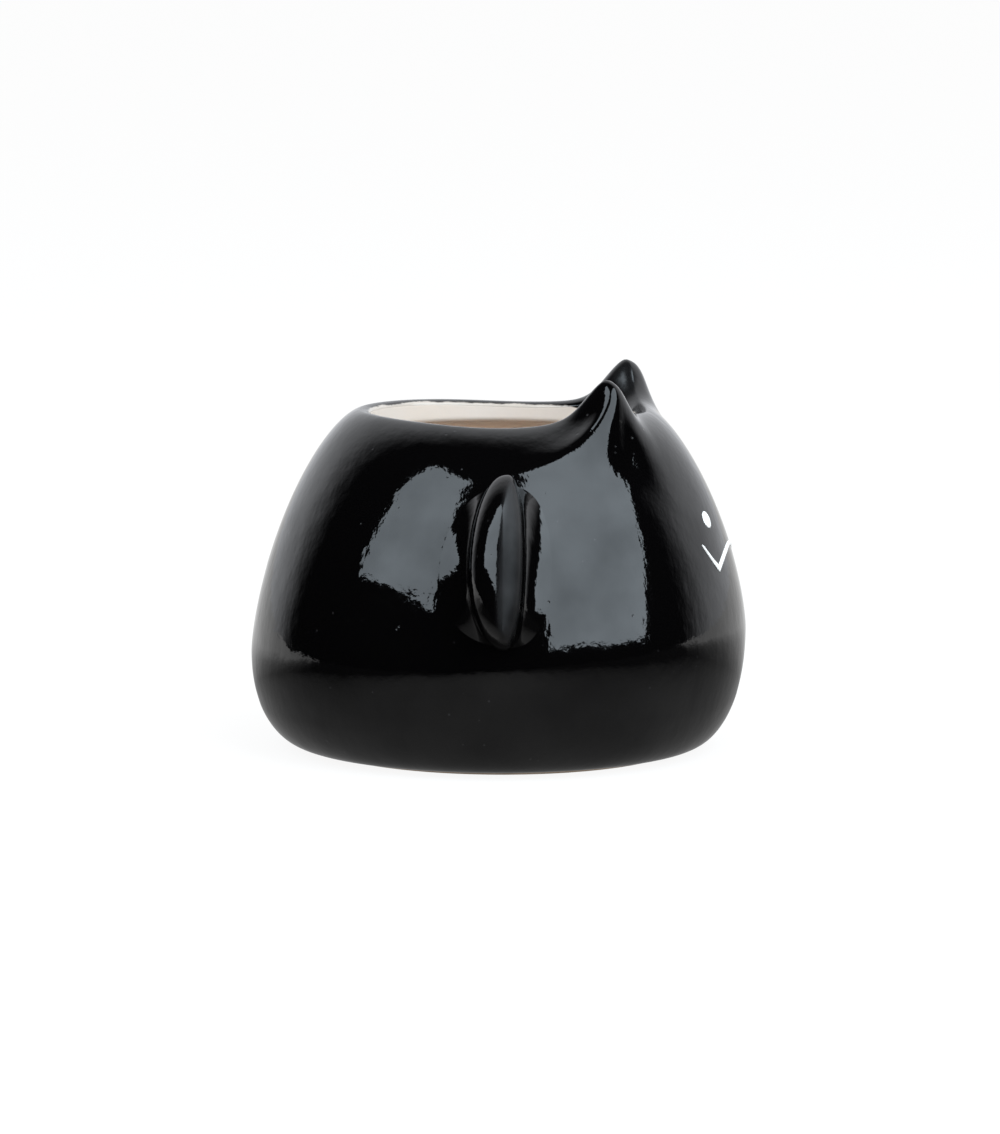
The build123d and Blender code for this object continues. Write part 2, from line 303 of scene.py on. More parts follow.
def opening_edge(vessel, turn):
    """Distance from the axis to the edge of the mouth."""
    along = math.cos(turn) / (vessel.opening_length / 2)
    across = math.sin(turn) / (vessel.opening_width / 2)
    shift = vessel.opening_forward / (vessel.opening_length / 2)
    stretch = along * along + across * across
    return (along * shift + math.sqrt(stretch - (across * shift) ** 2)) / stretch


def widest_height(vessel, turn):
    """Height of the widest line."""
    return vessel.belly_height + vessel.belly_tilt * math.cos(turn)


def rim_fall(vessel, turn):
    """Sag of the rim, below zero."""
    return -vessel.side_dip * math.exp(-((abs(turn) - vessel.dip_turn) / vessel.dip_spread) ** 2)


def ear_bump(ears, turn, share, down=0.0):
    """Rise of an ear, 1 at its tip; its ridge swings back and its rear spreads as it goes down."""
    away = abs(turn) - ears.turn - ears.twist * down
    spread = ears.front_spread if away < 0.0 else ears.rear_spread * (1.0 + ears.flare * down)
    return share * (1.0 + (away / spread) ** 2) ** -ears.sharpness


def ear_start(ears, turn):
    """Height where an ear begins, lower on its front than on its rear."""
    behind = ease(1.0 + (abs(turn) - ears.turn) / (2.0 * ears.lead))
    return ears.front_start + (ears.rear_start - ears.front_start) * behind


def raised(vessel, ears, turn, radius, height, dip_share, ear_share, down=0.0):
    """A profile point with the sag of the rim and the rise of an ear added."""
    bump = ear_bump(ears, turn, ear_share, down)
    radius += ears.lean * bump * ear_share
    return radius, height + rim_fall(vessel, turn) * dip_share + ears.height * bump


def outside(vessel, ears, turn, mark):
    """Radius and height on the glazed outside: 0 to 1 underside, to 2 shoulder, to 3 lip."""
    widest = widest_height(vessel, turn)
    edge = opening_edge(vessel, turn)
    if mark < 1.0:
        out, down = quarter(1.0 - mark, vessel.lower_power)
        return vessel.foot_radius + (vessel.belly_radius - vessel.foot_radius) * out, widest * (1.0 - down)
    if mark < 2.0:
        out, up = quarter(mark - 1.0, vessel.upper_power)
        lip = edge + vessel.lip_round
        radius = lip + (vessel.belly_radius - lip) * out
        height = widest + (vessel.lip_height - widest) * up
        dip_share = ease((height - vessel.dip_start) / (vessel.lip_height - vessel.dip_start))
        start = ear_start(ears, turn)
        ear_share = ease((height - start) / (vessel.lip_height - start))
        return raised(vessel, ears, turn, radius, height, dip_share, ear_share, 1.0 - ear_share)
    turned = QUARTER * (mark - 2.0)
    radius = edge + vessel.lip_round * (1.0 - math.sin(turned))
    height = vessel.lip_height - vessel.lip_drop * (1.0 - math.cos(turned))
    return raised(vessel, ears, turn, radius, height, 1.0, 1.0 - (1.0 - ears.inner_share) * ease(mark - 2.0))


def under_skin(vessel, ears, turn, mark, depth):
    """A profile point set in square to the glazed outside."""
    step = 0.01
    before = outside(vessel, ears, turn, max(mark - step, 0.0))
    after = outside(vessel, ears, turn, min(mark + step, 3.0))
    run, rise = after[0] - before[0], after[1] - before[1]
    span = math.hypot(run, rise)
    radius, height = outside(vessel, ears, turn, mark)
    return radius - depth * rise / span, height + depth * run / span


def hollow(vessel, ears, turn, mark, inset):
    """Radius and height inside: 0 to 1 collar, to 2 vault, to 3 bowl, to 4 floor."""
    collar = opening_edge(vessel, turn) + vessel.lining - inset
    ceiling = vessel.lip_height - vessel.side_dip - vessel.lip_drop - vessel.collar_height - inset
    floor = vessel.base_thickness + inset
    belly = vessel.belly_radius - vessel.wall - inset
    widest = vessel.inner_belly_height
    if mark < 1.0:
        top = outside(vessel, ears, turn, 3.0)[1]
        return collar, top + (ceiling - top) * mark
    if mark < 2.0:
        out, up = quarter(2.0 - mark, vessel.vault_power)
        return collar + (belly - collar) * out, widest + (ceiling - widest) * up
    if mark < 3.0:
        out, down = quarter(mark - 2.0, vessel.lower_power)
        radius = vessel.inner_floor_radius + (belly - vessel.inner_floor_radius) * out
        return radius, widest - (widest - floor) * down
    return vessel.inner_floor_radius * (4.0 - mark), floor


def rim_depth(vessel, ears, turn, below):
    """Depth below the crest of the lip, less inside an ear, which is black all over."""
    bump = ear_bump(ears, turn, 1.0)
    return below - ears.height * ears.inner_share * bump - vessel.lip_drop * ease(3.0 * bump)


def foot_mark(vessel, height):
    """Mark on the underside at a height above the table."""
    down = 1.0 - height / vessel.belly_height
    return 1.0 - math.asin(down ** (vessel.lower_power / 2.0)) / QUARTER


def side_radius(vessel, turn, height):
    """Radius of the outside at a height, away from the ears."""
    share = ease((height - vessel.dip_start) / (vessel.lip_height - vessel.dip_start))
    height -= rim_fall(vessel, turn) * share
    widest = widest_height(vessel, turn)
    if height < widest:
        down = (widest - height) / widest
        out = (1.0 - min(down, 1.0) ** vessel.lower_power) ** (1.0 / vessel.lower_power)
        return vessel.foot_radius + (vessel.belly_radius - vessel.foot_radius) * out
    up = min((height - widest) / (vessel.lip_height - widest), 1.0)
    lip = opening_edge(vessel, turn) + vessel.lip_round
    return lip + (vessel.belly_radius - lip) * (1.0 - up ** vessel.upper_power) ** (1.0 / vessel.upper_power)


def side_fall(vessel, turn, height):
    """How fast the radius of the outside grows with height."""
    above = side_radius(vessel, turn, height + SKIN_STEP)
    return (above - side_radius(vessel, turn, height - SKIN_STEP)) / (2 * SKIN_STEP)


def side_point(vessel, turn, height, lift):
    """A place on the outside, lifted square to its skin."""
    place = round_point(turn, side_radius(vessel, turn, height), height)
    normal = Vector((math.sin(turn), -math.cos(turn), -side_fall(vessel, turn, height))).normalized()
    return place + normal * lift


# Mesh tools

def draw_rings(bm, segments, count, place):
    """Extrudes a circle ring by ring, each ring set where place(ring, angle) says, and returns the rings."""
    layer = bm.verts.layers.float.new("ring_angle")
    ring = bmesh.ops.create_circle(bm, segments=segments, radius=1.0)["verts"]
    for vert in ring:
        vert[layer] = math.atan2(vert.co.y, vert.co.x)
    edges = bm.edges[:]
    rings = []
    for number_of_ring in range(count):
        if number_of_ring:
            grown = bmesh.ops.extrude_edge_only(bm, edges=edges)["geom"]
            ring = [part for part in grown if isinstance(part, bmesh.types.BMVert)]
            edges = [part for part in grown if isinstance(part, bmesh.types.BMEdge)]
        for vert in ring:
            vert.co = place(number_of_ring, vert[layer])
        rings.append(ring)
    return rings


def turn_of(vert):
    """Turn of a vertex from the front."""
    return math.atan2(vert.co.x, -vert.co.y)


def close_ring(bm, ring):
    """Draws a ring together in its middle."""
    middle = sum((vert.co for vert in ring), Vector()) / len(ring)
    bmesh.ops.pointmerge(bm, verts=ring, merge_co=middle)


def face_outwards(bm, inward=False):
    """Turns every face outwards, or towards the hollow."""
    bmesh.ops.recalc_face_normals(bm, faces=bm.faces[:])
    if inward:
        bmesh.ops.reverse_faces(bm, faces=bm.faces[:])


def smooth_belt(bm, rings, passes):
    """Evens out the rings where two curves meet."""
    verts = [vert for ring in rings for vert in ring]
    for _ in range(passes):
        bmesh.ops.smooth_vert(bm, verts=verts, factor=0.5, use_axis_x=True, use_axis_y=True,
                              use_axis_z=True)


def add_piece(context, name, bm, material, slot, *nodes):
    """Makes the object of a finished bmesh and ties it to the frame."""
    bm.verts.layers.float.remove(bm.verts.layers.float["ring_angle"])
    for edge in bm.edges:
        edge.smooth = not edge.is_boundary
    mesh = bpy.data.meshes.new(name)
    bm.to_mesh(mesh)
    bm.free()
    mesh.polygons.foreach_set("use_smooth", [True] * len(mesh.polygons))
    mesh.materials.append(material)
    piece = bpy.data.objects.new(name, mesh)
    context.scene.collection.objects.link(piece)
    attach(piece, BODY)
    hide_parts(*nodes)
    return piece


def add_pair(context, name, draw, material, slot, solid):
    """Makes a piece on the left, as draw(bm) gives it, and its mirror image on the right."""
    for side, sign in SIDES:
        bm = bmesh.new()
        draw(bm)
        for vert in bm.verts:
            vert.co.x *= sign
        face_outwards(bm)
        add_piece(context, name + "_" + side, bm, material, slot, side + "_" + solid)


def add_wall(piece, thickness):
    """Gives an open skin its thickness, on the side away from its normals."""
    wall = piece.modifiers.new("Wall", "SOLIDIFY")
    wall.thickness = thickness
    wall.offset = -1.0


# Shader tools

def node(tree, kind, place, **values):
    """Adds a shader node; a value goes to the input of that name, or else to the node itself."""
    made = tree.nodes.new(kind)
    made.location = (place[0] * NODE_GRID[0], place[1] * NODE_GRID[1])
    for key, value in values.items():
        socket = made.inputs.get(key.replace("_", " ").title())
        if socket is not None and not hasattr(made, key):
            socket.default_value = value
        else:
            setattr(made, key, value)
    return made


def feed(tree, value, socket):
    """Links a socket, or sets a number or a colour."""
    if isinstance(value, bpy.types.NodeSocket):
        tree.links.new(value, socket)
    else:
        socket.default_value = value


def math_node(tree, place, operation, first, second, clamp=False):
    """A math node on two values."""
    made = node(tree, "ShaderNodeMath", place, operation=operation, use_clamp=clamp)
    feed(tree, first, made.inputs[0])
    feed(tree, second, made.inputs[1])
    return made.outputs["Value"]


def vector_node(tree, place, operation, vector, other=(0.0, 0.0, 0.0)):
    """A vector math node on a linked vector and a fixed one."""
    made = node(tree, "ShaderNodeVectorMath", place, operation=operation)
    tree.links.new(vector, made.inputs[0])
    made.inputs[1].default_value = other
    return made.outputs["Vector" if operation == "MULTIPLY" else "Value"]


def range_node(tree, place, value, low, high, bottom=0.0, top=1.0):
    """Maps low..high to bottom..top, smoothly."""
    made = node(tree, "ShaderNodeMapRange", place, interpolation_type="SMOOTHSTEP")
    tree.links.new(value, made.inputs["Value"])
    for name, setting in zip(("From Min", "From Max", "To Min", "To Max"), (low, high, bottom, top)):
        made.inputs[name].default_value = setting
    return made.outputs["Result"]


def mix_node(tree, place, mask, first, second):
    """Mixes two colours by a mask; a mix node keeps its colours in inputs 6 and 7 and in output 2."""
    made = node(tree, "ShaderNodeMix", place, data_type="RGBA")
    for index, value in ((0, mask), (6, first), (7, second)):
        feed(tree, value, made.inputs[index])
    return made.outputs[2]


def noise_node(tree, place, vector, scale, detail=2.0, stretch=None):
    """A noise value round NOISE_MIDDLE, its vector scaled first if stretch is given."""
    if stretch is not None:
        vector = vector_node(tree, (place[0] - 1, place[1]), "MULTIPLY", vector, stretch)
    made = node(tree, "ShaderNodeTexNoise", place)
    made.inputs["Detail"].default_value = detail
    tree.links.new(vector, made.inputs["Vector"])
    feed(tree, scale, made.inputs["Scale"])
    return made.outputs["Fac"]


def glow_node(tree, kind, place, strength, tint=WHITE):
    """A surface or a room that gives off light by itself."""
    made = node(tree, kind, place)
    made.inputs["Color"].default_value = tint
    feed(tree, strength, made.inputs["Strength"])
    return made.outputs[0]


def mix_shader(tree, place, mask, first, second):
    """Goes from a first to a second shader by a mask."""
    made = node(tree, "ShaderNodeMixShader", place)
    for index, value in enumerate((mask, first, second)):
        tree.links.new(value, made.inputs[index])
    return made.outputs[0]


def new_group(name, inputs, outputs):
    """A shader node group that takes a vector and named values, and its two end nodes."""
    tree = bpy.data.node_groups.new(name, "ShaderNodeTree")
    tree.interface.new_socket(name="Vector", in_out="INPUT", socket_type="NodeSocketVector")
    for way, sockets in (("INPUT", inputs), ("OUTPUT", outputs)):
        for socket in sockets:
            tree.interface.new_socket(name=socket, in_out=way, socket_type="NodeSocketFloat")
    return tree, node(tree, "NodeGroupInput", (-6, 0)), node(tree, "NodeGroupOutput", (6, 0))


def glaze_skin_group():
    """Waves, streaks, pits and clouds of a fired glaze."""
    if "Glaze skin" in bpy.data.node_groups:
        return bpy.data.node_groups["Glaze skin"]
    tree, start, end = new_group("Glaze skin", ("Wave Scale", "Wave Height", "Pit Depth"),
                                 ("Height", "Pits", "Cloud"))
    pit_scale, patch_scale, cloud_scale = 330.0, 95.0, 38.0
    patch_start, patch_full, pit_floor, pit_edge = 0.52, 0.66, 0.05, 0.13
    # Each layer of waves: how much finer than the first, its share of the height, and its stretch
    swell, ripple = (0.22, 4.0, None), (3.4, 0.42, None)
    streaks = (2.2, 0.62, (1.0, 1.0, 0.16))
    vector = start.outputs["Vector"]
    waves = noise_node(tree, (-4, -2), vector, start.outputs["Wave Scale"], detail=1.0)
    for row, (finer, share, stretch) in enumerate((swell, ripple, streaks)):
        scale = math_node(tree, (-5, row), "MULTIPLY", start.outputs["Wave Scale"], finer)
        layer = noise_node(tree, (-4, row), vector, scale, stretch=stretch)
        layer = math_node(tree, (-3, row), "MULTIPLY", layer, share)
        waves = math_node(tree, (row - 2, row), "ADD", waves, layer)
    height = math_node(tree, (1, 0), "MULTIPLY", waves, start.outputs["Wave Height"])
    cells = node(tree, "ShaderNodeTexVoronoi", (-4, 4))
    cells.inputs["Scale"].default_value = pit_scale
    tree.links.new(vector, cells.inputs["Vector"])
    patch = noise_node(tree, (-4, 6), vector, patch_scale, detail=1.0)
    few = range_node(tree, (-3, 6), patch, patch_start, patch_full)
    spot = range_node(tree, (-3, 4), cells.outputs["Distance"], pit_floor, pit_edge, 1.0, 0.0)
    pits = math_node(tree, (-1, 4), "MULTIPLY", spot, few)
    sunk = math_node(tree, (1, 4), "MULTIPLY", pits, start.outputs["Pit Depth"])
    tree.links.new(math_node(tree, (3, 0), "SUBTRACT", height, sunk), end.inputs["Height"])
    tree.links.new(pits, end.inputs["Pits"])
    tree.links.new(noise_node(tree, (3, 6), vector, cloud_scale, detail=4.0), end.inputs["Cloud"])
    return tree


def rim_line_group():
    """Where the black coat gives way to cream, a wavering line below the crest of the lip."""
    if "Rim line" in bpy.data.node_groups:
        return bpy.data.node_groups["Rim line"]
    tree, start, end = new_group("Rim line", ("Depth", "Line", "Sway", "Jag"), ("Cream",))
    sway_scale, jag_scale = 160.0, 900.0
    soft_start, soft_end = -0.00012, 0.00018
    moved = start.outputs["Depth"]
    for row, (reach, scale, detail) in enumerate((("Sway", sway_scale, 1.0), ("Jag", jag_scale, 3.0))):
        noise = noise_node(tree, (-4, row), start.outputs["Vector"], scale, detail)
        wave = math_node(tree, (-3, row), "SUBTRACT", noise, NOISE_MIDDLE)
        wave = math_node(tree, (-2, row), "MULTIPLY", wave, start.outputs[reach])
        moved = math_node(tree, (row - 1, 0), "ADD", moved, wave)
    past = math_node(tree, (1, 0), "SUBTRACT", moved, start.outputs["Line"])
    tree.links.new(range_node(tree, (2, 0), past, soft_start, soft_end), end.inputs["Cream"])
    return tree


def clay_grain_group():
    """Fine grain and stains of fired clay."""
    if "Clay grain" in bpy.data.node_groups:
        return bpy.data.node_groups["Clay grain"]
    tree, start, end = new_group("Clay grain", ("Grain Height",), ("Height", "Stain"))
    grain_scale, stain_scale = 2600.0, 190.0
    stain_start, stain_full = 0.42, 0.68
    vector = start.outputs["Vector"]
    grain = noise_node(tree, (-3, 0), vector, grain_scale, detail=3.0)
    height = math_node(tree, (0, 0), "MULTIPLY", grain, start.outputs["Grain Height"])
    tree.links.new(height, end.inputs["Height"])
    blot = noise_node(tree, (-3, 2), vector, stain_scale, detail=5.0)
    tree.links.new(range_node(tree, (0, 2), blot, stain_start, stain_full), end.inputs["Stain"])
    return tree


def new_material(name):
    """An empty material with its Principled shader, object coordinates and a bump node."""
    if name in bpy.data.materials:
        return bpy.data.materials[name], None
    material = bpy.data.materials.new(name)
    material.use_nodes = True
    tree = material.node_tree
    tree.nodes.clear()
    output = node(tree, "ShaderNodeOutputMaterial", (5, 0))
    shader = node(tree, "ShaderNodeBsdfPrincipled", (3, 0))
    shader.name = "Shader"
    tree.links.new(shader.outputs[0], output.inputs["Surface"])
    bump = node(tree, "ShaderNodeBump", (2, 3))
    bump.name = "Bump"
    bump.inputs["Strength"].default_value = 1.0
    bump.inputs["Distance"].default_value = 1.0
    tree.links.new(bump.outputs["Normal"], shader.inputs["Normal"])
    node(tree, "ShaderNodeTexCoord", (-6, 0)).name = "Coordinates"
    return material, tree


def use_group(tree, group, place, **values):
    """Places a node group on the material's object coordinates and gives the material its bump."""
    made = node(tree, "ShaderNodeGroup", place, node_tree=group)
    tree.links.new(tree.nodes["Coordinates"].outputs["Object"], made.inputs["Vector"])
    for key, value in values.items():
        made.inputs[key.replace("_", " ").title()].default_value = value
    if "Height" in made.outputs:
        tree.links.new(made.outputs["Height"], tree.nodes["Bump"].inputs["Height"])
    return made.outputs


def vertex_value(tree, place, name):
    """A value that the mesh keeps at its vertices."""
    return node(tree, "ShaderNodeAttribute", place, attribute_name=name).outputs["Fac"]


def use_rim_line(tree, finish, depth):
    """Mask of the cream below the rim line."""
    line = use_group(tree, rim_line_group(), (-4, 4), line=finish.rim_line, sway=finish.rim_sway,
                     jag=finish.rim_jag)
    tree.links.new(depth, line["Cream"].node.inputs["Depth"])
    return line["Cream"]


def black_glaze(finish):
    """Black glaze, thin over edges, giving way below the crest of the lip to cream darkened as painted
    shade.
    """
    material, tree = new_material("Black glaze")
    if tree is None:
        return material
    shader = tree.nodes["Shader"]
    skin = use_group(tree, glaze_skin_group(), (-4, 0), wave_scale=1.0 / finish.peel_size,
                     wave_height=finish.peel_height, pit_depth=finish.pit_depth)
    cream = use_rim_line(tree, finish, vertex_value(tree, (-6, 4), "rim_depth"))
    thin = vertex_value(tree, (-6, 6), "thin")
    clear, cloudy, bright_cloud = 0.25, 0.8, 0.75
    patch_start, patch_full = 0.35, 0.65
    patchy = range_node(tree, (-3, 7), skin["Cloud"], patch_start, patch_full)
    worn = math_node(tree, (-2, 6), "MULTIPLY", thin, patchy, clamp=True)
    dark = mix_node(tree, (-1, 0), worn, finish.black, finish.thin_black)
    dark = mix_node(tree, (0, 0), skin["Pits"], dark, finish.thin_black)
    # Below the rim line the coat shows the darker lip cream, painted shade on the upward-facing lip
    tree.links.new(mix_node(tree, (1, 0), cream, dark, finish.lip_cream_painted_shade), shader.inputs["Base Color"])
    rough = range_node(tree, (0, 2), skin["Cloud"], clear, cloudy, finish.clear_rough, finish.cloudy_rough)
    rubbed = math_node(tree, (0, 3), "MULTIPLY", thin, finish.edge_rough)
    tree.links.new(math_node(tree, (1, 2), "ADD", rough, rubbed), shader.inputs["Roughness"])
    gloss = range_node(tree, (2, 2), skin["Cloud"], clear, bright_cloud, finish.low_gloss,
                       finish.high_gloss)
    dulled = math_node(tree, (2, 4), "MULTIPLY", thin, -finish.edge_loss)
    tree.links.new(math_node(tree, (3, 3), "ADD", gloss, dulled), shader.inputs["Specular IOR Level"])
    shader.inputs["IOR"].default_value = finish.glaze_ior
    return material


def cream_glaze(finish):
    """Cream glaze, mottled where it pools, warmer and brightened deep inside as painted bounce light, with
    the black coat's ragged edge at its top.
    """
    material, tree = new_material("Cream glaze")
    if tree is None:
        return material
    broader, mottle_start, mottle_full, most_mottle = 0.8, 0.3, 0.8, 0.55
    clear, cloudy, smooth, dull = 0.25, 0.8, 0.10, 0.20
    shader = tree.nodes["Shader"]
    skin = use_group(tree, glaze_skin_group(), (-4, 0), wave_scale=broader / finish.peel_size,
                     wave_height=finish.peel_height, pit_depth=finish.cream_pit_depth)
    depth = vertex_value(tree, (-6, 4), "rim_depth")
    cream = use_rim_line(tree, finish, depth)
    mottle = range_node(tree, (-2, 0), skin["Cloud"], mottle_start, mottle_full, 0.0, most_mottle)
    body = mix_node(tree, (-1, 0), mottle, finish.cream, finish.cream_shade)
    # Below the collar the colour goes over to the tan, a warmer tone and painted bounce light that brightens
    # the shaded hollow
    deep = range_node(tree, (-1, 4), depth, finish.tan_painted_bounce_start, finish.tan_painted_bounce_full)
    body = mix_node(tree, (0, 0), deep, body, finish.tan)
    tree.links.new(mix_node(tree, (1, 0), cream, finish.black, body), shader.inputs["Base Color"])
    rough = range_node(tree, (1, 2), skin["Cloud"], clear, cloudy, smooth, dull)
    tree.links.new(rough, shader.inputs["Roughness"])
    shader.inputs["IOR"].default_value = finish.glaze_ior
    return material


def white_enamel(finish):
    """White enamel, a touch uneven."""
    material, tree = new_material("White enamel")
    if tree is None:
        return material
    shade_start, shade_full, most_shade = 0.2, 0.9, 0.25
    clear, cloudy, smooth, dull = 0.2, 0.8, 0.16, 0.30
    shader = tree.nodes["Shader"]
    skin = use_group(tree, glaze_skin_group(), (-4, 0), wave_scale=1.0 / finish.enamel_peel_size,
                     wave_height=finish.enamel_peel_height, pit_depth=finish.enamel_peel_height)
    shade = range_node(tree, (-2, 0), skin["Cloud"], shade_start, shade_full, 0.0, most_shade)
    tree.links.new(mix_node(tree, (0, 0), shade, finish.white, finish.cream), shader.inputs["Base Color"])
    rough = range_node(tree, (0, 2), skin["Cloud"], clear, cloudy, smooth, dull)
    tree.links.new(rough, shader.inputs["Roughness"])
    return material


def bare_clay(finish):
    """Fired clay, dull and grainy."""
    material, tree = new_material("Bare clay")
    if tree is None:
        return material
    shader = tree.nodes["Shader"]
    grain = use_group(tree, clay_grain_group(), (-4, 0), grain_height=finish.grain_height)
    stained = mix_node(tree, (0, 0), grain["Stain"], finish.clay, finish.clay_dark)
    tree.links.new(stained, shader.inputs["Base Color"])
    clean_rough, stained_rough = 0.78, 0.92
    rough = range_node(tree, (0, 2), grain["Stain"], 0.0, 1.0, clean_rough, stained_rough)
    tree.links.new(rough, shader.inputs["Roughness"])
    return material


# Pieces

class PLANTER_OT_clay(Operator):
    """Cast clay vessel with its ears, foot ring and hollow"""

    bl_idname = "planter.clay"
    bl_label = "Clay vessel"

    def execute(self, context):
        settings = context.scene.planter
        vessel, ears = settings.vessel, settings.ears
        segments, underside, shoulder, lip = 192, 20, 40, 8
        collar, vault, bowl, floor = 4, 24, 16, 6
        collar_start, floor_end = 0.1, 3.95
        middle, flat = 0.3, 0.98
        recess = vessel.foot_radius - vessel.foot_ring
        bevel, deep = vessel.foot_bevel, vessel.foot_recess
        under = [(middle, deep), (flat, deep), (1.0, deep - bevel), (1.0, bevel)]
        under += [(1.0 + bevel / recess, 0.0)]
        outer = steps(foot_mark(vessel, bevel), 1.0, underside)
        outer += steps(1.0, 2.0, shoulder) + steps(2.0, 3.0, lip)
        inner = steps(collar_start, 1.0, collar) + steps(1.0, 2.0, vault)
        inner += steps(2.0, 3.0, bowl) + steps(3.0, floor_end, floor)

        def place(ring, turn):
            if ring < len(under):
                share, height = under[ring]
                return round_point(turn, recess * share, height)
            ring -= len(under)
            if ring == 0:
                return round_point(turn, vessel.foot_radius - bevel, 0.0)
            ring -= 1
            if ring < len(outer):
                return round_point(turn, *under_skin(vessel, ears, turn, outer[ring], vessel.glaze))
            return round_point(turn, *hollow(vessel, ears, turn, inner[ring - len(outer)], 0.0))

        bm = bmesh.new()
        rings = draw_rings(bm, segments, len(under) + 1 + len(outer) + len(inner), place)
        close_ring(bm, rings[0])
        close_ring(bm, rings[-1])
        face_outwards(bm)
        add_piece(context, "clay_vessel", bm, bare_clay(settings.finish), "fired_clay", "clay_body")
        return {"FINISHED"}


class PLANTER_OT_black_coat(Operator):
    """Black glaze over the outside, from just above the foot to over the lip"""

    bl_idname = "planter.black_coat"
    bl_label = "Black coat"

    def execute(self, context):
        settings = context.scene.planter
        vessel, ears = settings.vessel, settings.ears
        segments, rolled = 320, 6
        underside, shoulder, lip = 26, 58, 14
        belt_below, belt_above, passes = 10, 18, 10
        # The coat runs thin over the crest of the lip: marks where that starts and ends, and how softly
        wear, wear_start, wear_end = 0.3, 1.9, 2.7
        soft_start, soft_end = 0.15, 0.3
        marks = steps(foot_mark(vessel, vessel.bare_foot), 1.0, underside)
        marks += steps(1.0, 2.0, shoulder) + steps(2.0, 3.0, lip) + [3.0]

        def place(ring, turn):
            depth = vessel.glaze * (1.0 - math.sqrt(1.0 - (1.0 - min(ring / rolled, 1.0)) ** 2))
            return round_point(turn, *under_skin(vessel, ears, turn, marks[ring], depth))

        bm = bmesh.new()
        below = bm.verts.layers.float.new("rim_depth")
        thin = bm.verts.layers.float.new("thin")
        rings = draw_rings(bm, segments, len(marks), place)
        smooth_belt(bm, rings[underside - belt_below:underside + belt_above], passes)
        for mark, ring in zip(marks, rings):
            worn = wear * ease((mark - wear_start) / soft_start) * ease((wear_end - mark) / soft_end)
            for vert in ring:
                inward = vessel.lip_drop * (mark - 2.0)
                vert[below] = rim_depth(vessel, ears, turn_of(vert), inward) if mark > 2.0 else OUTSIDE_RIM
                vert[thin] = worn
        face_outwards(bm)
        coat = add_piece(context, "black_coat", bm, black_glaze(settings.finish), "black_glaze",
                         "black_glaze")
        add_wall(coat, vessel.glaze * WALL_SHARE)
        return {"FINISHED"}


class PLANTER_OT_cream_inside(Operator):
    """Cream glaze inside, from the lip down to the floor"""

    bl_idname = "planter.cream_inside"
    bl_label = "Cream inside"

    def execute(self, context):
        settings = context.scene.planter
        vessel, ears = settings.vessel, settings.ears
        segments, fold_segments = 288, 6
        collar_rings, vault, bowl, floor = 6, 42, 24, 10
        # Marks that leave room for the rounding of the fold, and the last one before the middle
        collar_end, vault_start, floor_end = 0.6, 1.06, 3.98
        collar = steps(0.0, collar_end, collar_rings) + [collar_end]
        marks = collar + [1.0] + steps(vault_start, 2.0, vault)
        marks += steps(2.0, 3.0, bowl) + steps(3.0, floor_end, floor)

        def place(ring, turn):
            return round_point(turn, *hollow(vessel, ears, turn, marks[ring], vessel.lining))

        bm = bmesh.new()
        below = bm.verts.layers.float.new("rim_depth")
        rings = draw_rings(bm, segments, len(marks), place)
        close_ring(bm, rings[-1])
        fold = set(rings[len(collar)])
        corner = [edge for edge in bm.edges if set(edge.verts) <= fold]
        for vert in bm.verts:
            turn = turn_of(vert)
            under = outside(vessel, ears, turn, 3.0)[1] - vert.co.z
            vert[below] = rim_depth(vessel, ears, turn, vessel.lip_drop + under)
        bmesh.ops.bevel(bm, geom=corner, offset=vessel.fold_round, offset_type="OFFSET", affect="EDGES",
                        segments=fold_segments, profile=0.5, material=-1)
        face_outwards(bm, inward=True)
        inside = add_piece(context, "cream_inside", bm, cream_glaze(settings.finish), "cream_glaze",
                           "cream_lining")
        add_wall(inside, vessel.lining * WALL_SHARE)
        return {"FINISHED"}


class WingForm:
    """The wing on the +X side, in its own across, up and outward directions"""

    def __init__(self, settings):
        self.vessel, self.wing = settings.vessel, settings.wings
        wing = self.wing
        root = side_radius(self.vessel, QUARTER, wing.centre_height)
        self.seat = Vector((math.sqrt(root ** 2 - wing.forward ** 2), -wing.forward, wing.centre_height))
        self.out = Vector((math.cos(wing.slope), 0.0, math.sin(wing.slope)))
        self.up = Vector((-math.sin(wing.slope), 0.0, math.cos(wing.slope)))

    def place(self, across, up, out):
        """A place from across, up and outward distances."""
        return self.seat + Vector((0.0, across, 0.0)) + self.up * up + self.out * out

    def ground(self, across, up):
        """Outward distance where the body's skin lies, found by halving a stretch."""
        low, high, halvings = -0.02, 0.02, 18
        for _ in range(halvings):
            middle = (low + high) / 2
            place = self.place(across, up, middle)
            skin = side_radius(self.vessel, math.atan2(place.x, -place.y), place.z)
            low, high = (low, middle) if math.hypot(place.x, place.y) > skin else (middle, high)
        return (low + high) / 2

    def section(self, turned, spread, half, rear_share=1.0, front_share=1.0):
        """Across and up on a section: the front is squarer than the rear."""
        wing = self.wing
        cosine, sine = math.cos(turned), math.sin(turned)
        if cosine > 0.0:
            fullness = cosine ** (2.0 / wing.rear_power)
            across = rear_share * (wing.rear_half + spread) * fullness * (1.0 - wing.skew * sine)
        else:
            across = -front_share * (wing.front_half + spread) * abs(cosine) ** (2.0 / wing.front_power)
        return across + wing.lean * sine, half * sine

    def half_height(self, out):
        """Half the wing's length at a distance outwards."""
        wing = self.wing
        share = min(max(out / (wing.reach - wing.end_round), 0.0), 1.0)
        return (wing.root_height + (wing.height - wing.root_height) * share) / 2


